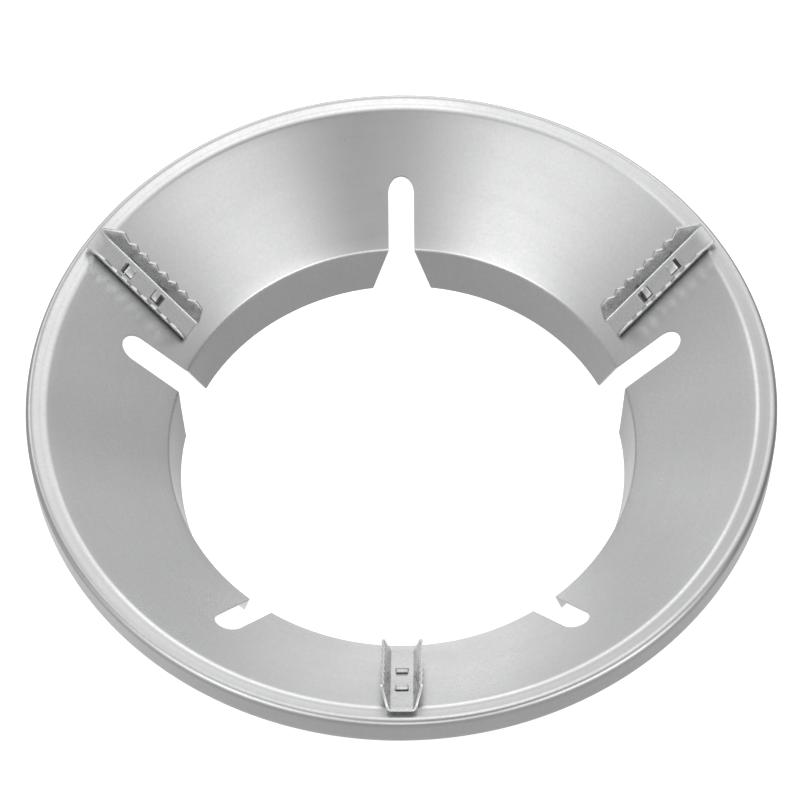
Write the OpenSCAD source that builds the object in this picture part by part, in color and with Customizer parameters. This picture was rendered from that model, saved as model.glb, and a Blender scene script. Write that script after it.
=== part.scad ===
// Gas stove windshield ring: a shallow funnel of thin sheet steel with a curled
// down outer rim, a short collar at the hole and five slots for the hob's claws.
// Three serrated channels stand on the funnel and carry the pan; each is held by
// two tabs lanced out of the funnel and folded over inside the channel.
// Lengths in millimetres, the ring stands on the lower edge of its collar.

/* [Funnel] */
// outer diameter over the rim
ring_d = 240; // [200:1:300]
// thickness of the funnel's sheet
sheet = 0.6; // [0.4:0.05:1.2]
// width of the funnel from its upper bend to the crease, seen from above
funnel_w = 37.3; // [30:0.1:45]
// height of the crease over the collar's lower edge
crease_z = 17.2; // [10:0.1:30]
// how far the collar draws in from the crease to its lower edge
collar_taper = 2.8; // [0.5:0.1:6]
// slope of the funnel over the level, in degrees
slope = 39; // [30:0.5:50]
// inner radius of the bend at the crease
crease_bend = 1.6; // [0.6:0.1:4]

/* [Rim] */
// width of the rim outside the funnel's upper bend
rim_w = 6.1; // [4:0.1:12]
// rise of the rim from the funnel's upper bend to its outer corner
rim_rise = 1.2; // [0.4:0.1:4]
// height of the skirt from the rim's outer corner to its lower edge
skirt_h = 12.3; // [8:0.1:20]
// length that the skirt's lower edge is turned inwards
hem = 2.9; // [2:0.1:6]
// radius of the bend between funnel and rim
inner_bend = 1.9; // [0.8:0.1:4]
// radius of the rim's outer corner
outer_bend = 1.9; // [0.8:0.1:4]
// radius of the bend at the skirt's lower edge
hem_bend = 1.4; // [0.6:0.1:3]

/* [Claw slots] */
// number of slots
slot_n = 5; // [3:1:8]
// width of a slot in the funnel
slot_w = 8.7; // [5:0.1:14]
// width of a slot at the collar's lower edge
slot_foot_w = 19.8; // [10:0.1:30]
// distance of a slot's round end from the funnel's upper bend, seen from above
slot_stop = 17.8; // [8:0.1:25]
// direction of the first slot
slot_turn = 90; // [0:1:359]

/* [Pan rests] */
// number of rests; the named nodes below follow it
rest_n = 3; // [3:1:3]
// direction of the front rest
rest_turn = 270; // [0:1:359]
// thickness of the rests' sheet
rest_sheet = 0.8; // [0.5:0.05:1.5]
// distance of a rest's inner end from the crease, seen from above
rest_clear = 4.8; // [2:0.1:12]
// width of a rest's base over its bend lines
rest_w = 8.5; // [5:0.1:10]
// distance of a rest's outer end from the rim's outer face
rest_inset = 3; // [1:0.1:12]
// lean of a side wall away from upright
rest_lean = 20; // [0:0.5:35]
// height of the tooth tips over the funnel
tip_h = 6.6; // [4:0.1:12]
// radius of the bends between base and walls, middle of the sheet
rest_bend = 0.9; // [0.5:0.05:2]
// gap under the base at its middle, where the round funnel falls away
seat_gap = 0.06; // [0.02:0.01:0.3]

/* [Teeth] */
// distance from notch to notch
tooth_pitch = 4.58; // [2:0.01:8]
// depth of a notch
tooth_depth = 1.5; // [0.5:0.05:3]
// length of the short facet that lies level with the hob
tooth_facet = 1.9; // [0.5:0.05:4]
// distance of the first notch from the outer end
first_notch = 9.7; // [5:0.1:15]
// least distance of the last notch from the inner end
last_notch = 8.5; // [6:0.1:15]

/* [Tabs] */
// width of a tab lanced out of the funnel
tab_w = 3.5; // [2:0.1:6]
// length of a tab as seen from above
tab_len = 3.3; // [2:0.1:6]
// side and end clearance of a tab in its window
tab_gap = 0.2; // [0.1:0.05:0.5]
// length of window left open beside a tab
window_open = 1.0; // [0.4:0.1:3]
// distance between the far edges of a rest's two windows
window_span = 17.9; // [14:0.1:22]

/* [Node] */
// piece to draw

/* [Hidden] */
$fn = 160;
rim_r = ring_d / 2 - sheet / 2;
bend_r = ring_d / 2 - rim_w;
crease_r = bend_r - funnel_w;
collar_r = crease_r - collar_taper;
bend_z = crease_z + (bend_r - crease_r) * tan(slope);
rim_z = bend_z + rim_rise;
skirt_mid = rim_z - skirt_h + sheet / 2;
slot_end = bend_r - slot_stop;
rest_out = ring_d / 2 - rest_inset;
rest_len = (rest_out - crease_r - rest_clear) / cos(slope);
// number of notches that the rests' length takes
tooth_n = max(1, 1 + floor((rest_len - first_notch - last_notch) / tooth_pitch));
window_out = (rest_len - window_span) / 2;
window_in = window_out + window_span;
// height of the funnel's upper face at the rests' outer end
seat_z = crease_z + (rest_out - crease_r) * tan(slope) + sheet / 2 / cos(slope);
steel = [0.74, 0.75, 0.76];
rest_steel = [0.68, 0.69, 0.70];

// one length of sheet, drawn as its cut edge
module strip(a, b, t) {
    d = (b - a) / norm(b - a);
    n = [-d[1], d[0]] * t / 2;
    polygon([a + n, b + n, b - n, a - n]);
}

// one bend of sheet around the point c, from direction a to direction b
module bend(c, a, b, r, t) {
    far = 3 * (r + t);
    m = (a + b) / norm(a + b);
    intersection() {
        difference() {
            translate(c) circle(r = r + t / 2);
            translate(c) circle(r = r - t / 2);
        }
        polygon([c, c + a * far, c + m * far, c + b * far]);
    }
}

function way(p, q) = (q - p) / norm(q - p);
function half_turn(p, q, s) = acos(way(p, q) * way(q, s)) / 2;
function reach(p, q, s, r) = r * tan(half_turn(p, q, s));
function hub(p, q, s, r) = q + way([0, 0], way(q, s) - way(p, q)) * r / cos(half_turn(p, q, s));

// a sheet bent at every inner point of the line p with the radii r
module bent_sheet(p, r, t) {
    last = len(p) - 1;
    cut = [for (i = [0:last]) i == 0 || i == last ? 0 : reach(p[i - 1], p[i], p[i + 1], r[i])];
    union() {
        for (i = [0:last - 1]) {
            d = way(p[i], p[i + 1]);
            strip(p[i] + d * cut[i], p[i + 1] - d * cut[i + 1], t);
        }
        for (i = [1:last - 1]) {
            c = hub(p[i - 1], p[i], p[i + 1], r[i]);
            a = way(c, p[i] - way(p[i - 1], p[i]) * cut[i]);
            b = way(c, p[i] + way(p[i], p[i + 1]) * cut[i]);
            bend(c, a, b, r[i], t);
        }
    }
}

// sets its children on the funnel's upper face: x runs down the funnel
// from the rests' outer end, y across, z away from the face
module on_funnel(turn) {
    rotate([0, 0, turn])
        translate([rest_out, 0, seat_z])
            rotate([0, slope, 180])
                children();
}

// area enclosed by one face of a sheet that curls one way along the line p:
// the face lies the distance o from the sheet's middle, on the outside of the bends
module curl(p, r, o, closing) {
    last = len(p) - 1;
    w = [for (i = [0:last - 1]) way(p[i], p[i + 1])];
    n = [for (v = w) [-v[1], v[0]]];
    c = [for (i = [0:last]) i == 0 || i == last ? p[i] : hub(p[i - 1], p[i], p[i + 1], r[i])];
    turns = [for (i = [1:last - 1], k = [i - 1, i]) c[i] + n[k] * (r[i] + o)];
    polygon(concat([p[0] + n[0] * o], turns, [p[last] + n[last - 1] * o], closing));
    for (i = [1:last - 1])
        translate(c[i]) circle(r = r[i] + o);
}

// the funnel with collar and rim before any slot is cut
module funnel() {
    foot = [crease_r, crease_z] + way([crease_r, crease_z], [collar_r, 0]) * (crease_z + 3);
    hem_r = rim_r - hem;
    line = [
        foot,
        [crease_r, crease_z],
        [bend_r, bend_z],
        [rim_r, rim_z],
        [rim_r, skirt_mid],
        [hem_r, skirt_mid]
    ];
    radii = [0, crease_bend + sheet / 2, inner_bend, outer_bend, hem_bend, 0];
    rotate_extrude()
        difference() {
            curl(line, radii, sheet / 2, []);
            curl(line, radii, -sheet / 2, [[hem_r, -9], [collar_r - 9, -9]]);
            translate([0, -20]) square([ring_d, 20]);
        }
}

// one slot: straight in the funnel, opening out in the collar
module claw_slot() {
    tall = rim_z + 10;
    half = slot_w / 2;
    foot = slot_foot_w / 2;
    splay = (foot - half) / crease_z;
    start = collar_r - slot_w;
    translate([0, 0, -2]) linear_extrude(tall) {
        translate([slot_end - half, 0]) circle(r = half);
        translate([start, -half]) square([slot_end - half - start, slot_w]);
    }
    translate([start, 0, 0])
        rotate([90, 0, 90])
            linear_extrude(crease_r + slot_w - start)
                polygon([
                    [-half, crease_z],
                    [half, crease_z],
                    [foot + splay, -1],
                    [-foot - splay, -1]
                ]);
}

// the hole that a tab leaves in the funnel, right under the folded tab;
// side 1 is the rest's outer tab, -1 the inner one
module tab_hole(edge, side) {
    long = tab_len + rest_sheet + sheet;
    root = edge + side * (window_open + sheet);
    low = side > 0 ? root : root - long;
    translate([low, -tab_w / 2 - tab_gap, -3])
        cube([long, tab_w + 2 * tab_gap, 6]);
}

// a tab standing through its window and folded over towards the rest's middle
module tab(edge, side) {
    over = seat_gap + rest_sheet + 0.05 + sheet / 2;
    x = edge + side * (window_open + sheet / 2);
    line = [
        [x, -sheet * 0.75],
        [x, over],
        [edge + side * (window_open + tab_len), over]
    ];
    rotate([90, 0, 0])
        linear_extrude(tab_w, center = true)
            bent_sheet(line, [0, sheet * 0.8, 0], sheet);
}

module ring() {
    color(steel)
    union() {
        difference() {
            funnel();
            for (i = [0:slot_n - 1])
                rotate([0, 0, slot_turn + i * 360 / slot_n])
                    claw_slot();
            for (i = [0:rest_n - 1])
                on_funnel(rest_turn + i * 360 / rest_n) {
                    tab_hole(window_out, 1);
                    tab_hole(window_in, -1);
                }
        }
        for (i = [0:rest_n - 1])
            on_funnel(rest_turn + i * 360 / rest_n) {
                tab(window_out, 1);
                tab(window_in, -1);
            }
    }
}

// outline of a side wall with its teeth, seen across the rest
module wall_outline() {
    low = tip_h - tooth_depth;
    last_tip = first_notch + (tooth_n - 1) * tooth_pitch + tooth_facet;
    teeth = [for (i = [0:tooth_n - 1], k = [0, 1])
        [first_notch + i * tooth_pitch + k * tooth_facet, low + k * tooth_depth]];
    polygon(concat(
        [[0, 0], [0, tip_h * 0.27], [tip_h * 0.73, tip_h * 0.94], [tip_h * 0.92, tip_h]],
        teeth,
        [
            [last_tip + 1.2, tip_h],
            [rest_len - 2.8, tip_h * 0.9],
            [rest_len - 0.6, tip_h * 0.38],
            [rest_len, tip_h * 0.24],
            [rest_len, 0]
        ]));
}

// filled shape of a trough whose two lower corners have the radius r
module trough(r, tall) {
    hub_y = (rest_w - rest_sheet) / 2 - rest_bend * tan((90 - rest_lean) / 2);
    hub_z = seat_gap + rest_sheet / 2 + rest_bend;
    side = [hub_y + r * cos(rest_lean), hub_z - r * sin(rest_lean)];
    top = side + [sin(rest_lean), cos(rest_lean)] * tall;
    polygon([
        [-hub_y, hub_z - r],
        [hub_y, hub_z - r],
        side,
        top,
        [-top[0], top[1]],
        [-side[0], side[1]]
    ]);
    translate([hub_y, hub_z]) circle(r = r);
    translate([-hub_y, hub_z]) circle(r = r);
}

// cross section of a rest: flat base and two walls leaning outwards
module rest_section() {
    difference() {
        trough(rest_bend + rest_sheet / 2, tip_h + 2);
        trough(rest_bend - rest_sheet / 2, tip_h + 4);
    }
}

// window in the base for one tab
module window(edge, side) {
    long = window_open + sheet + tab_gap;
    translate([side > 0 ? edge : edge - long, -tab_w / 2 - tab_gap, -1])
        cube([long, tab_w + 2 * tab_gap, 3]);
}

module pot_rest(turn) {
    color(rest_steel)
    on_funnel(turn)
    difference() {
        intersection() {
            rotate([90, 0, 90])
                linear_extrude(rest_len)
                    rest_section();
            rotate([90, 0, 0])
                linear_extrude(rest_w * 4, center = true)
                    wall_outline();
        }
        window(window_out, 1);
        window(window_in, -1);
    }
}

module pot_rest_front() {
    pot_rest(rest_turn);
}

module pot_rest_left() {
    pot_rest(rest_turn - 360 / rest_n);
}

module pot_rest_right() {
    pot_rest(rest_turn + 360 / rest_n);
}

ring();
pot_rest_front();
pot_rest_left();
pot_rest_right();
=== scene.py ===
"""Gas stove windshield ring: satin steel funnel with three serrated pan rests."""
import math

import bmesh
import bpy
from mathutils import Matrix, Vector


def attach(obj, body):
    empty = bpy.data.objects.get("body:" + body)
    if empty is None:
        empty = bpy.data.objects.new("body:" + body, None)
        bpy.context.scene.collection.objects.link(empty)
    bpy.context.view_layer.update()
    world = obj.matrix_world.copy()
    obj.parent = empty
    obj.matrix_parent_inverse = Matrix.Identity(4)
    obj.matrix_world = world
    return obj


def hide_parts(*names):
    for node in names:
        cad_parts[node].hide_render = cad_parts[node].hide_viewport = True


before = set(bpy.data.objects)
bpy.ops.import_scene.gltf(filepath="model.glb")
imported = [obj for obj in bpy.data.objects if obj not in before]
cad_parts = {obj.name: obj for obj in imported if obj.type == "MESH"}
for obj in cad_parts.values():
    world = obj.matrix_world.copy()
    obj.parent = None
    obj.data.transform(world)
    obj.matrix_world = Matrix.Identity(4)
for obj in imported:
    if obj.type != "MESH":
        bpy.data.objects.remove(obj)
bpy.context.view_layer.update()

# Funnel sizes in millimetres, each place as (radius, height) on the middle of the sheet
SHEET = 0.6
SLOPE = math.radians(39)
COLLAR_FOOT = (73.8, 0.0)
CREASE = (76.6, 17.2)
CONE_WIDE = 37.3
INNER_BEND = (CREASE[0] + CONE_WIDE, CREASE[1] + CONE_WIDE * math.tan(SLOPE))
RIM_WIDE, RIM_RISE = 5.8, 1.2
RIM = (INNER_BEND[0] + RIM_WIDE, INNER_BEND[1] + RIM_RISE)
SKIRT_HIGH, HEM = 12.3, 2.9
SKIRT_FOOT = RIM[1] - SKIRT_HIGH + SHEET / 2
BEND_RADII = [1.9, 5.0, 1.9, 1.4]   # at the crease, the inner bend, the rim and the hem
GROOVES = ((115.6, 0.5, 0.018), (118.1, 0.45, 0.006))   # middle, width and depth
GROOVE_BAND = 2.6   # the grooves are kept to this far below the rim's corner

# Claw slots
SLOTS = 5
SLOT_HALF, SLOT_FOOT_HALF, SLOT_END = 4.35, 9.9, 96.1

# Pan rests, measured along the funnel from their outer end and off its face
REST_TURNS = {"pot_rest_front": 270, "pot_rest_left": 150, "pot_rest_right": 30}
REST_OUT, REST_SHEET, REST_WIDE = 117.0, 0.8, 8.5
REST_LEAN, REST_BEND, REST_CLEAR = math.radians(20), 0.9, 0.06
REST_STOP = 4.8   # from the crease to a rest's inner end, seen from above
REST_LEN = (REST_OUT - CREASE[0] - REST_STOP) / math.cos(SLOPE)
SEAT = CREASE[1] + (REST_OUT - CREASE[0]) * math.tan(SLOPE) + SHEET / 2 / math.cos(SLOPE)
TEETH, TIP, TOOTH_DEEP = 7, 6.6, 1.5
TOOTH_PITCH, TOOTH_FACET, FIRST_NOTCH = 4.58, 1.9, 9.7

# Tabs of the funnel and the windows that let them through the rests
TAB_WIDE, TAB_LONG, TAB_GAP, TAB_BEND = 3.5, 3.3, 0.2, 0.48
TAB_CLEAR, TAB_ROOT = 0.05, 0.45
WINDOW_SPAN, WINDOW_OPEN = 17.9, 1.0
WINDOWS = (((REST_LEN - WINDOW_SPAN) / 2, 1), ((REST_LEN + WINDOW_SPAN) / 2, -1))

# Broken edges, and the angle past which two faces meet in an edge
TAB_EDGE, REST_EDGE = 0.12, 0.14
BEVEL_ANGLE, EDGE_ANGLE = math.radians(35), math.radians(32)


class Sum:
    """One number of a node tree, so that a formula on it adds its Math nodes."""

    def __init__(self, finish, socket):
        self.finish, self.socket = finish, socket

    def __add__(self, other):
        return self.finish.number("ADD", self, other)

    def __radd__(self, other):
        return self.finish.number("ADD", other, self)

    def __sub__(self, other):
        return self.finish.number("SUBTRACT", self, other)

    def __rsub__(self, other):
        return self.finish.number("SUBTRACT", other, self)

    def __mul__(self, other):
        return self.finish.number("MULTIPLY", self, other)

    def __rmul__(self, other):
        return self.finish.number("MULTIPLY", other, self)

    def __truediv__(self, other):
        return self.finish.number("DIVIDE", self, other)

    def __rtruediv__(self, other):
        return self.finish.number("DIVIDE", other, self)


class Finish:
    """A material, or the studio's light, with its tree and the formulas on it."""

    def __init__(self, name, group):
        self.block = group.new(name)
        self.block.use_nodes = True
        self.tree = self.block.node_tree
        self.tree.nodes.clear()

    def node(self, kind, settings=None, **sockets):
        """Adds a node; a socket is given by its name, or by its number as i0, i1 and so on."""
        made = self.tree.nodes.new(kind)
        for key, value in (settings or {}).items():
            setattr(made, key, value)
        for key, value in sockets.items():
            numbered = key[0] == "i" and key[1:].isdigit()
            socket = made.inputs[int(key[1:])] if numbered else made.inputs[key.replace("_", " ")]
            if isinstance(value, Sum):
                value = value.socket
            if isinstance(value, bpy.types.NodeSocket):
                self.tree.links.new(value, socket)
            else:
                socket.default_value = value
        return made

    def number(self, work, *values):
        inputs = {f"i{i}": value for i, value in enumerate(values)}
        made = self.node("ShaderNodeMath", {"operation": work}, **inputs)
        return Sum(self, made.outputs[0])

    def smooth(self, value, low, high, start=0.0, end=1.0):
        made = self.node("ShaderNodeMapRange", {"interpolation_type": "SMOOTHSTEP"},
                         Value=value, From_Min=low, From_Max=high, To_Min=start, To_Max=end)
        return Sum(self, made.outputs[0])

    def size(self, value):
        return self.number("ABSOLUTE", value)

    def hump(self, value):
        """1 where the value is 0, falling away smoothly on both sides."""
        return self.number("EXPONENT", value * value * -1.0)

    def noise(self, place, scale, detail, rough):
        made = self.node("ShaderNodeTexNoise", {"noise_dimensions": "3D"},
                         Vector=place, Scale=scale, Detail=detail, Roughness=rough)
        return Sum(self, made.outputs[0])

    def point(self, x, y, z):
        return self.node("ShaderNodeCombineXYZ", None, X=x, Y=y, Z=z).outputs[0]


def on_rest(f, radius, turn, z):
    """Millimetres along the nearest pan rest from its outer end, and across from its axis."""
    step = 2 * math.pi / len(REST_TURNS)
    first = math.radians(REST_TURNS["pot_rest_right"])
    aside = f.number("WRAP", turn, first + step / 2, first - step / 2) - first
    inward = REST_OUT - f.number("COSINE", aside) * radius * 1000
    along = inward * math.cos(SLOPE) + (SEAT - z * 1000) * math.sin(SLOPE)
    return along, f.size(f.number("SINE", aside) * radius * 1000)


def painted_ring_shade(f, radius, turn, z):
    """Painted shade: a darker rim corner and groove, painted shade in the gaps and painted shadow in the
    corners beside the rests.
    """
    # Strengths of the painted shade on the rim's corner, in its groove and in the gaps, and of the painted
    # shadow beside the rests
    corner_shade, groove_shade, gap_shade, beside_shadow = 0.16, 0.04, 0.85, 0.6
    groove_wide, gap_edge, gap_shift, beside_wide = 0.35, 0.15, 0.05, 3.4
    along, across = on_rest(f, radius, turn, z)
    r, z = radius * 1000, z * 1000
    upper = f.smooth(z, RIM[1] - 1.4, RIM[1] - 0.6)
    # Painted shade on the rim's outer corner and in its groove
    corner = f.smooth(r, RIM[0] - 2.1, RIM[0] - 1.3) * upper
    groove = f.hump((r - GROOVES[0][0]) / groove_wide) * upper
    # Painted shade in the open gaps of the rests' windows, beside each tab
    gaps = 0.0
    for (edge, side), half in zip(WINDOWS, (0.42, 0.28)):
        middle = REST_OUT - (edge + side * WINDOW_OPEN / 2) * math.cos(SLOPE) + gap_shift
        gaps = gaps + f.smooth(f.size(r - middle), half, half + gap_edge, 1.0, 0.0)
    gaps = gaps * f.smooth(across, TAB_WIDE / 2 + TAB_CLEAR, TAB_WIDE / 2 + TAB_GAP, 1.0, 0.0)
    # Beside a rest the painted shadow starts under its bends and fades away past its walls and its ends
    start = f.smooth(across, REST_WIDE / 2 - 1.25, REST_WIDE / 2 - 0.65)
    fade = f.smooth(across, REST_WIDE / 2, REST_WIDE / 2 + beside_wide, 1.0, 0.0)
    ends = f.smooth(f.size(along - REST_LEN / 2), REST_LEN / 2 - 0.5, REST_LEN / 2 + 1.1, 1.0, 0.0)
    beside = start * fade * fade * ends
    upper_face = f.smooth(z - (r - CREASE[0]) * math.tan(SLOPE) - CREASE[1], -0.1, 0.1)
    dark = f.number("MAXIMUM", gaps * gap_shade, beside * beside_shadow) * upper_face
    return corner * corner_shade + groove * groove_shade + dark


def painted_tab_shadow(f, radius, turn, z):
    """Painted shadow: the dark line round each folded tab."""
    line_start, line_end, line_shadow = 0.12, 0.4, 0.7
    along, across = on_rest(f, radius, turn, z)
    tab_middle = WINDOW_SPAN / 2 - WINDOW_OPEN - TAB_LONG / 2
    past_end = f.size(f.size(along - REST_LEN / 2) - tab_middle) - TAB_LONG / 2
    past_side = across - TAB_WIDE / 2
    return f.smooth(f.number("MAXIMUM", past_end, past_side), line_start, line_end, line_shadow, 0.0)


def spun_steel(name, dark, light, gloss, grain, painted_shade):
    """Satin steel turned on a spinning lathe: fine rings, faint mottling, and painted shade of its own."""
    f = Finish(name, bpy.data.materials)
    place = f.node("ShaderNodeTexCoord").outputs["Object"]
    split = f.node("ShaderNodeSeparateXYZ", None, Vector=place)
    x, y, z = (Sum(f, split.outputs[i]) for i in range(3))
    radius = f.number("SQRT", x * x + y * y)
    turn = f.number("ARCTAN2", y, x)
    # The rings run round the axis, so they change with radius and height and hardly with the turn
    across = (radius - z) * 1000.0
    rings = f.noise(f.point(turn * 0.9, across, (radius + z) * 120.0), scale=1.7, detail=3.0, rough=0.6)
    fine = f.noise(f.point(turn * 5.0, across, (radius + z) * 1000.0), scale=4.5, detail=2.0, rough=0.6)
    cloud = f.noise(place, scale=26.0, detail=3.0, rough=0.55)
    grit = f.noise(place, scale=900.0, detail=2.0, rough=0.6)
    tone = f.smooth(cloud * 0.45 + rings * 0.15 + grit * 0.4, 0.3, 0.7)
    plain = f.node("ShaderNodeMix", {"data_type": "RGBA"}, Factor=tone)
    plain.inputs[6].default_value = dark
    plain.inputs[7].default_value = light
    # The piece's painted shade mixes the colour towards near black
    colour = f.node("ShaderNodeMix", {"data_type": "RGBA"}, Factor=painted_shade(f, radius, turn, z),
                    i6=plain.outputs[2])
    colour.inputs[7].default_value = (0.01, 0.01, 0.01, 1)
    rough = f.smooth(rings * 0.2 + cloud * 0.5 + grit * 0.3, 0.3, 0.7, gloss + 0.04, gloss - 0.04)
    bump = f.node("ShaderNodeBump", None, Strength=0.35, Distance=0.00002,
                  Height=(rings * 0.2 + fine * 0.2 + grit * 0.5) * grain)
    shader = f.node("ShaderNodeBsdfPrincipled", None, Metallic=1.0, Base_Color=colour.outputs[2],
                    Roughness=rough, Normal=bump.outputs[0])
    f.node("ShaderNodeOutputMaterial", None, Surface=shader.outputs[0])
    return f.block


ring_steel = spun_steel("ring_steel", dark=(0.53, 0.532, 0.535, 1), light=(0.61, 0.612, 0.615, 1),
                        gloss=0.30, grain=1.0, painted_shade=painted_ring_shade)
rest_steel = spun_steel("rest_steel", dark=(0.50, 0.502, 0.505, 1), light=(0.60, 0.602, 0.605, 1),
                        gloss=0.26, grain=0.3, painted_shade=painted_tab_shadow)


def bent_line(corners, radii, steps):
    """Points (r, z, normal r, normal z) along a sheet bent at its inner corners."""
    bend_steps = 8
    corners = [Vector(c) for c in corners]
    ways = [(b - a).normalized() for a, b in zip(corners, corners[1:])]
    cuts = [0.0]
    for i, radius in enumerate(radii):
        cuts.append(radius * math.tan(ways[i].angle(ways[i + 1]) / 2))
    cuts.append(0.0)
    line = []
    for i, way in enumerate(ways):
        a = corners[i] + way * cuts[i]
        b = corners[i + 1] - way * cuts[i + 1]
        normal = Vector((-way.y, way.x))
        for k in range(steps[i] + 1):
            p = a.lerp(b, k / steps[i])
            line.append((p.x, p.y, normal.x, normal.y))
        if i < len(radii):
            turn = ways[i].angle_signed(ways[i + 1])
            side = -1 if turn > 0 else 1
            hub = b + normal * radii[i] * side
            for k in range(1, bend_steps):
                part = -turn * k / bend_steps
                out = b - hub
                out = Vector((out.x * math.cos(part) - out.y * math.sin(part),
                              out.x * math.sin(part) + out.y * math.cos(part)))
                p = hub + out
                face = out.normalized() * -side
                line.append((p.x, p.y, face.x, face.y))
    return line


def groove_lift(r, z):
    """Height of the shallow spun grooves on the rim, along the sheet's normal."""
    if z < RIM[1] - GROOVE_BAND:
        return 0.0
    return -sum(deep * math.exp(-((r - middle) / wide) ** 2) for middle, wide, deep in GROOVES)


def funnel_faces():
    """Stations along the funnel: the upper or inner face and the lower or outer face, each (r, z)."""
    corners = [COLLAR_FOOT, CREASE, INNER_BEND, RIM, (RIM[0], SKIRT_FOOT), (RIM[0] - HEM, SKIRT_FOOT)]
    upper, lower = [], []
    for r, z, nr, nz in bent_line(corners, BEND_RADII, [8, 1, 34, 8, 2]):
        lift = groove_lift(r, z)
        upper.append((r + nr * (SHEET / 2 + lift), z + nz * (SHEET / 2 + lift)))
        lower.append((r - nr * (SHEET / 2 - lift), z - nz * (SHEET / 2 - lift)))
    # The collar's lower edge is cut level
    taper = (CREASE[0] - COLLAR_FOOT[0]) / CREASE[1]
    for face in (upper, lower):
        face[0] = (face[0][0] - face[0][1] * taper, 0.0)
    # More stations on the straight cone, closer together towards the slots' round ends
    slot_turns = (0, 12, 24, 35, 45, 54, 62, 69, 75, 80, 84, 87.5, 90)
    radii = [80.5, 84.5, 88.5]
    radii += [SLOT_END - SLOT_HALF + SLOT_HALF * math.sin(math.radians(a)) for a in slot_turns]
    radii += [97.2, 99.0, 101.5, 104.5, 107.5, 110.5]
    rise = SHEET / 2 / math.cos(SLOPE)
    cone = [(r, CREASE[1] + (r - CREASE[0]) * math.tan(SLOPE)) for r in radii]
    start = 1 + next(i for i, (r, z) in enumerate(upper) if r < radii[0] < upper[i + 1][0])
    upper[start:start] = [(r, z + rise) for r, z in cone]
    lower[start:start] = [(r, z - rise) for r, z in cone]
    return upper, lower


def slot_half(r, z):
    """Half the width of a claw slot at this place of the sheet, 0 beyond its end."""
    half = 0.0
    round_start = SLOT_END - SLOT_HALF
    if r < round_start:
        half = SLOT_HALF
    elif r < SLOT_END - 1e-6:
        half = math.sqrt(SLOT_HALF ** 2 - (r - round_start) ** 2)
    if z < CREASE[1] and r < CREASE[0] + 3:
        half = max(half, SLOT_HALF + (SLOT_FOOT_HALF - SLOT_HALF) * (CREASE[1] - z) / CREASE[1])
    return half


def slot_to_slot(columns=48):
    """The part of the funnel from the axis of one claw slot to the next, as a mesh."""
    share = 2 * math.pi / SLOTS
    verts, faces, sides = [], [], []
    stations = funnel_faces()
    for face in stations:
        rows = []
        for r, z in face:
            gap = math.asin(slot_half(r, z) / r)
            row = []
            for k in range(columns + 1):
                angle = gap + (share - 2 * gap) * k / columns
                row.append(len(verts))
                verts.append((r * math.cos(angle) / 1000, r * math.sin(angle) / 1000, z / 1000))
            rows.append(row)
        sides.append(rows)
    upper, lower = sides
    last = len(upper) - 1
    for s in range(last):
        for k in range(columns):
            faces.append((upper[s][k + 1], upper[s + 1][k + 1], upper[s + 1][k], upper[s][k]))
            faces.append((lower[s][k], lower[s + 1][k], lower[s + 1][k + 1], lower[s][k + 1]))
        if slot_half(*stations[0][s]) > 0:
            faces.append((upper[s][0], upper[s + 1][0], lower[s + 1][0], lower[s][0]))
            faces.append((upper[s][-1], lower[s][-1], lower[s + 1][-1], upper[s + 1][-1]))
    for k in range(columns):
        faces.append((lower[0][k], lower[0][k + 1], upper[0][k + 1], upper[0][k]))
        faces.append((upper[last][k + 1], lower[last][k + 1], lower[last][k], upper[last][k]))
    mesh = bpy.data.meshes.new("slot_to_slot")
    mesh.from_pydata(verts, [], faces)
    return mesh


def on_funnel(x, y, z, turn):
    """Place on the funnel's upper face: x down the funnel from a rest's outer end, z off the face."""
    c, s = math.cos(SLOPE), math.sin(SLOPE)
    out = REST_OUT - x * c - z * s
    up = SEAT - x * s + z * c
    a = math.radians(turn)
    place = (out * math.cos(a) + y * math.sin(a), out * math.sin(a) - y * math.cos(a), up)
    return tuple(v / 1000 for v in place)


def solid(name, verts, faces):
    """A closed mesh with its faces turned outwards."""
    mesh = bpy.data.meshes.new(name)
    mesh.from_pydata(verts, [], faces)
    work = bmesh.new()
    work.from_mesh(mesh)
    bmesh.ops.recalc_face_normals(work, faces=work.faces)
    work.to_mesh(mesh)
    work.free()
    return mesh


def put(name, mesh):
    piece = bpy.data.objects.new(name, mesh)
    bpy.context.scene.collection.objects.link(piece)
    return piece


def finished(piece, name):
    """The piece with its modifiers worked in, as a plain mesh of its own."""
    bpy.context.view_layer.update()
    graph = bpy.context.evaluated_depsgraph_get()
    mesh = bpy.data.meshes.new_from_object(piece.evaluated_get(graph))
    bpy.data.objects.remove(piece)
    mesh.name = name
    return mesh


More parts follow.
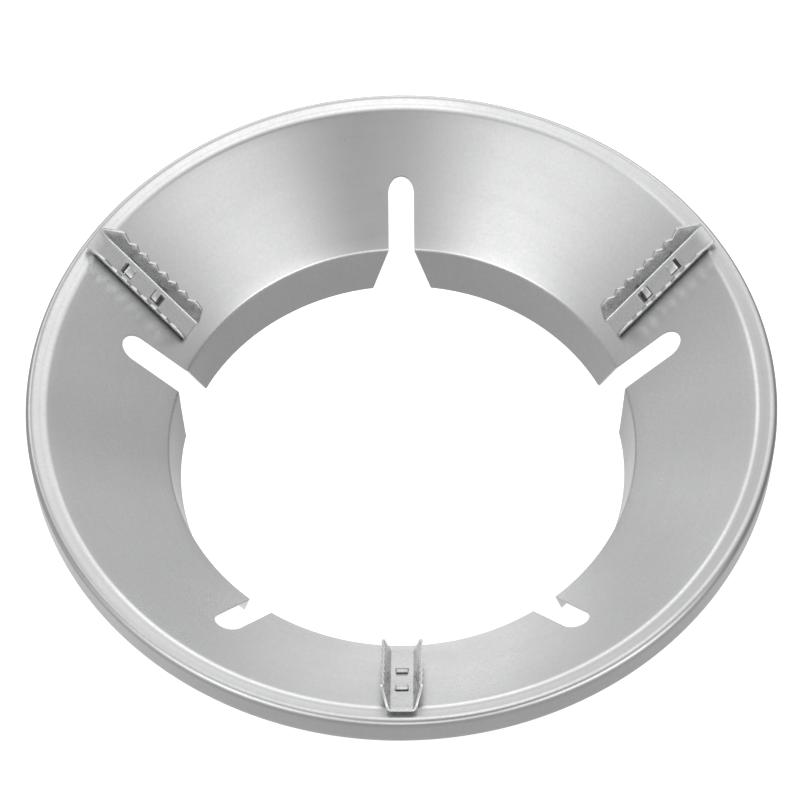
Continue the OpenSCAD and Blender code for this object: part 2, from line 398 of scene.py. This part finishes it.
def round_the_ring():
    """Geometry nodes that set a pattern round the ring's axis: Count copies from First turn on."""
    tree = bpy.data.node_groups.new("round_the_ring", "GeometryNodeTree")
    for label, kind in (("Geometry", "NodeSocketGeometry"), ("Count", "NodeSocketInt"),
                        ("First turn", "NodeSocketFloat"), ("Weld", "NodeSocketFloat"),
                        ("Finish", "NodeSocketMaterial")):
        tree.interface.new_socket(label, in_out="INPUT", socket_type=kind)
    tree.interface.new_socket("Geometry", in_out="OUTPUT", socket_type="NodeSocketGeometry")

    def step(kind, settings=None, **sockets):
        made = tree.nodes.new(kind)
        for key, value in (settings or {}).items():
            setattr(made, key, value)
        for key, value in sockets.items():
            socket = made.inputs[int(key[1:])] if key[1:].isdigit() else made.inputs[key]
            if isinstance(value, bpy.types.NodeSocket):
                tree.links.new(value, socket)
            else:
                socket.default_value = value
        return made

    given = step("NodeGroupInput").outputs
    whole = step("ShaderNodeMath", {"operation": "DIVIDE"}, i0=2 * math.pi, i1=given["Count"])
    turn = step("ShaderNodeMath", {"operation": "MULTIPLY_ADD"},
                i0=step("GeometryNodeInputIndex").outputs[0], i1=whole.outputs[0], i2=given["First turn"])
    spin = step("ShaderNodeCombineXYZ", None, Z=turn.outputs[0])
    places = step("GeometryNodePoints", None, Count=given["Count"])
    copies = step("GeometryNodeInstanceOnPoints", None, Points=places.outputs[0],
                  Instance=given["Geometry"], Rotation=spin.outputs[0])
    real = step("GeometryNodeRealizeInstances", None, Geometry=copies.outputs[0])
    weld = step("GeometryNodeMergeByDistance", None, Geometry=real.outputs[0], Distance=given["Weld"])
    steel = step("GeometryNodeSetMaterial", None, Geometry=weld.outputs[0], Material=given["Finish"])
    step("NodeGroupOutput", None, Geometry=steel.outputs[0])
    return tree


PATTERN = round_the_ring()


def repeat(piece, count, first, weld=0.0):
    """Gives the piece the pattern round the ring, with the first copy at this turn in degrees."""
    modifier = piece.modifiers.new("round", "NODES")
    modifier.node_group = PATTERN
    values = {"Count": count, "First turn": math.radians(first), "Weld": weld, "Finish": ring_steel}
    for item in PATTERN.interface.items_tree:
        if item.in_out == "INPUT" and item.name in values:
            modifier[item.identifier] = values[item.name]


def tab(edge, side):
    """One tab lanced out of the funnel, standing through its window and folded over."""
    over = REST_CLEAR + REST_SHEET + TAB_CLEAR + SHEET / 2
    x = WINDOW_OPEN + SHEET / 2
    line = bent_line([(x, -TAB_ROOT), (x, over), (WINDOW_OPEN + TAB_LONG, over)], [TAB_BEND], [3, 3])
    verts, faces = [], []
    for along, z, na, nz in line:
        for face in (SHEET / 2, -SHEET / 2):
            for y in (-TAB_WIDE / 2, TAB_WIDE / 2):
                verts.append((edge + side * (along + na * face), y, z + nz * face))
    for a in range(0, 4 * len(line) - 4, 4):
        b = a + 4
        faces += [(a, a + 1, b + 1, b), (a + 2, b + 2, b + 3, a + 3)]
        faces += [(a, b, b + 2, a + 2), (a + 1, a + 3, b + 3, b + 1)]
    end = 4 * len(line) - 4
    faces += [(0, 2, 3, 1), (end, end + 1, end + 3, end + 2)]
    return verts, faces


def tab_hole(edge, side):
    """The hole that a tab leaves in the funnel, as a block across the sheet."""
    reach = 3
    root = edge + side * (WINDOW_OPEN + SHEET)
    long = TAB_LONG + REST_SHEET + SHEET
    low = root if side > 0 else root - long
    half = TAB_WIDE / 2 + TAB_GAP
    verts = [(x, y, z) for x in (low, low + long) for y in (-half, half) for z in (-reach, reach)]
    return verts, [(0, 1, 3, 2), (4, 6, 7, 5), (0, 4, 5, 1), (2, 3, 7, 6), (0, 2, 6, 4), (1, 5, 7, 3)]


def pair_on_funnel(name, shape):
    """The shape at both windows of the rest whose turn is 0, as one object."""
    verts, faces = [], []
    for edge, side in WINDOWS:
        more, loops = shape(edge, side)
        base = len(verts)
        verts += more
        faces += [tuple(i + base for i in loop) for loop in loops]
    return put(name, solid(name, [on_funnel(*p, 0) for p in verts], faces))


def bevelled(piece, wide):
    modifier = piece.modifiers.new("edges", "BEVEL")
    modifier.width, modifier.segments = wide / 1000, 2
    modifier.limit_method, modifier.angle_limit = "ANGLE", BEVEL_ANGLE


def make_ring():
    """The funnel, with the tabs' holes cut and the tabs set in."""
    funnel = put("funnel", slot_to_slot())
    repeat(funnel, SLOTS, 90, weld=0.00001)
    holes = pair_on_funnel("holes", tab_hole)
    repeat(holes, len(REST_TURNS), REST_TURNS["pot_rest_front"])
    cut = funnel.modifiers.new("holes", "BOOLEAN")
    cut.object, cut.solver, cut.operation = holes, "EXACT", "DIFFERENCE"
    sheet = finished(funnel, "ring")
    bpy.data.objects.remove(holes)
    tabs = pair_on_funnel("tabs", tab)
    bevelled(tabs, TAB_EDGE)
    repeat(tabs, len(REST_TURNS), REST_TURNS["pot_rest_front"])
    whole = bmesh.new()
    whole.from_mesh(sheet)
    bmesh.ops.recalc_face_normals(whole, faces=whole.faces)
    whole.from_mesh(finished(tabs, "tabs"))
    whole.to_mesh(sheet)
    whole.free()
    return sheet


def wall_line():
    """The top edge of a rest's side wall with its teeth, as places along it and heights."""
    line = [(0, TIP * 0.27), (TIP * 0.73, TIP * 0.94), (TIP * 0.92, TIP)]
    for i in range(TEETH):
        notch = FIRST_NOTCH + i * TOOTH_PITCH
        line += [(notch, TIP - TOOTH_DEEP), (notch + TOOTH_FACET, TIP)]
    line += [(line[-1][0] + 1.2, TIP), (REST_LEN - 2.8, TIP * 0.9)]
    return line + [(REST_LEN - 0.6, TIP * 0.38), (REST_LEN, TIP * 0.24)]


def wall_top(line, x):
    """Height of the wall's top edge at x."""
    for (a, low), (b, high) in zip(line, line[1:]):
        if x <= b:
            return low + (high - low) * (x - a) / (b - a)
    return line[-1][1]


def pan_rest(turn):
    """One serrated channel: flat base, two walls leaning out, two windows for the tabs."""
    bend_steps = 6
    upright = math.pi / 2 - REST_LEAN
    hub_y = (REST_WIDE - REST_SHEET) / 2 - REST_BEND * math.tan(upright / 2)
    hub_z = REST_CLEAR + REST_SHEET / 2 + REST_BEND
    half = TAB_WIDE / 2 + TAB_GAP
    long = WINDOW_OPEN + SHEET + TAB_GAP
    spans = [(edge, edge + long) if side > 0 else (edge - long, edge) for edge, side in WINDOWS]
    line = wall_line()
    stations = sorted({x for x, top in line} | {x for span in spans for x in span})

    def section(x, r):
        side = [(half, hub_z - r), (hub_y, hub_z - r)]
        for k in range(1, bend_steps + 1):
            a = upright * k / bend_steps - math.pi / 2
            side.append((hub_y + r * math.cos(a), hub_z + r * math.sin(a)))
        y, z = side[-1]
        top = wall_top(line, x)
        side.append((y + (top - z) * math.tan(REST_LEAN), top))
        return [(-y, z) for y, z in reversed(side)] + side

    verts, layers = [], []
    for r in (REST_BEND + REST_SHEET / 2, REST_BEND - REST_SHEET / 2):
        rows = []
        for x in stations:
            row = []
            for y, z in section(x, r):
                row.append(len(verts))
                verts.append(on_funnel(x, y, z, turn))
            rows.append(row)
        layers.append(rows)
    out, inn = layers
    count, last = len(out[0]), len(stations) - 1
    middle = count // 2 - 1
    faces = []
    for s in range(last):
        centre = (stations[s] + stations[s + 1]) / 2
        open_here = any(a < centre < b for a, b in spans)
        for j in range(count - 1):
            if open_here and j == middle:
                continue
            faces.append((out[s][j], out[s + 1][j], out[s + 1][j + 1], out[s][j + 1]))
            faces.append((inn[s][j], inn[s][j + 1], inn[s + 1][j + 1], inn[s + 1][j]))
        edges = (0, middle, middle + 1, count - 1) if open_here else (0, count - 1)
        for j in edges:
            faces.append((out[s][j], inn[s][j], inn[s + 1][j], out[s + 1][j]))
        if open_here:
            for t in (s, s + 1):
                faces.append((out[t][middle], out[t][middle + 1], inn[t][middle + 1], inn[t][middle]))
    for s in (0, last):
        for j in range(count - 1):
            faces.append((out[s][j], out[s][j + 1], inn[s][j + 1], inn[s][j]))
    piece = put("rest", solid("rest", verts, faces))
    bevelled(piece, REST_EDGE)
    return finished(piece, "rest")


def set_in(node, mesh, steel):
    """Puts a finished mesh in the place of its node, in its steel and that steel's slot."""
    mesh.materials.clear()
    mesh.materials.append(steel)
    for face in mesh.polygons:
        face.use_smooth = True
    mesh.set_sharp_from_angle(angle=EDGE_ANGLE)
    piece = put("steel_" + node, mesh)
    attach(piece, "root")
    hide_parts(node)


set_in("ring", make_ring(), ring_steel)
for name, turn in REST_TURNS.items():
    set_in(name, pan_rest(turn), rest_steel)


def white_floor():
    reach = 3
    mesh = bpy.data.meshes.new("floor")
    mesh.from_pydata([(-reach, -reach, 0), (reach, -reach, 0), (reach, reach, 0), (-reach, reach, 0)], [],
                     [(0, 1, 2, 3)])
    floor = put("floor", mesh)
    f = Finish("floor_white", bpy.data.materials)
    shader = f.node("ShaderNodeBsdfPrincipled", None, Roughness=0.9, Emission_Strength=0.65)
    shader.inputs["Base Color"].default_value = (0.8, 0.8, 0.8, 1)
    shader.inputs["Emission Color"].default_value = (1, 1, 1, 1)
    f.node("ShaderNodeOutputMaterial", None, Surface=shader.outputs[0])
    mesh.materials.append(f.block)
    floor.visible_glossy = False


def towards(turn, height):
    """Direction at this turn from straight behind, to the right, and height over the horizon."""
    turn, height = math.radians(turn), math.radians(height)
    return Vector((math.sin(turn) * math.cos(height), math.cos(turn) * math.cos(height), math.sin(height)))


def studio_light(level, panels):
    """Light from all round: an even level, a bright strip low behind the ring and soft round panels."""
    strip_height, strip_wide, strip_amount, darkest = 0.347, 0.192, 1.49, 0.15
    f = Finish("studio", bpy.data.worlds)
    way = f.node("ShaderNodeTexCoord").outputs["Generated"]
    split = f.node("ShaderNodeSeparateXYZ", None, Vector=way)
    y, z = Sum(f, split.outputs[1]), Sum(f, split.outputs[2])
    light = f.smooth(y, 0.58, 0.86) * f.hump((z - strip_height) * (1 / strip_wide)) * strip_amount + level
    for turn, height, spread, amount in panels:
        near = f.node("ShaderNodeVectorMath", {"operation": "DOT_PRODUCT"}, i0=way, i1=towards(turn, height))
        tight = math.radians(spread) ** -2
        light = light + f.number("EXPONENT", (Sum(f, near.outputs["Value"]) - 1.0) * tight) * amount
    lamp = f.node("ShaderNodeBackground", None, Strength=f.number("MAXIMUM", light, darkest))
    lamp.inputs["Color"].default_value = (1, 1, 1, 1)
    f.node("ShaderNodeOutputWorld", None, Surface=lamp.outputs[0])
    bpy.context.scene.world = f.block


def camera():
    """The photograph's view: 56.6 degrees down on the ring from 1.0 m."""
    height, turn, roll = (math.radians(v) for v in (56.62, -89.2, 1.09))
    distance = 1.0
    target = Vector((0, 0, 0.05379))
    back = Vector((math.cos(height) * math.cos(turn), math.cos(height) * math.sin(turn), math.sin(height)))
    right = Vector((-math.sin(turn), math.cos(turn), 0))
    up = back.cross(right)
    side = right * math.cos(roll) - up * math.sin(roll)
    top = right * math.sin(roll) + up * math.cos(roll)
    data = bpy.data.cameras.new("camera")
    data.lens, data.sensor_width = 141.6, 36.0
    data.shift_x, data.shift_y = -0.001, -0.0269
    data.clip_start, data.clip_end = 0.05, 20
    holder = put("camera", data)
    holder.location = target + back * distance
    turned = holder.matrix_world.to_3x3()
    for row in range(3):
        turned[row][0], turned[row][1], turned[row][2] = side[row], top[row], back[row]
    holder.rotation_mode = "QUATERNION"
    holder.rotation_quaternion = turned.to_quaternion()
    bpy.context.scene.camera = holder


white_floor()
# Each panel: degrees from straight behind to the right, degrees up, degrees of spread, strength
studio_light(0.50, (
    (-5, -14.5, 18.5, 0.73),    # low behind, seen by the front of the funnel
    (36.5, 19.5, 15.5, -0.59),
    (-51.5, 33.5, 8, 2.00),     # high behind on both sides, seen by the rim
    (45, 40, 21, 1.11),
    (-85, 55, 9, 1.17),
    (-132.5, 25.5, 13.5, 2.04),   # panel seen by the funnel's right back
    (120, 23, 12, 1.92),        # panels seen by its left back
    (140.5, 30, 10.5, 2.21),
    (86, 8, 21.5, -0.45),
    (109, -3.5, 15, 0.30),      # low on both sides, seen by the rim's corner
    (-105, -3.5, 15, 0.30),
    (142.5, 53, 14.5, -0.52),
    (23, 85.5, 14, 1.66),       # overhead
    (173.5, 23.5, 8.5, 1.29),   # low in front, seen by the rests' bends
    (-177.5, 21, 8, 1.31),
    (-153, 33, 9, 1.30),
    (-177.5, 15, 17, -0.24),
    (-17.5, -75, 17, 0.84),     # light thrown back from the table
))
camera()
bpy.context.scene.view_settings.view_transform = "Standard"
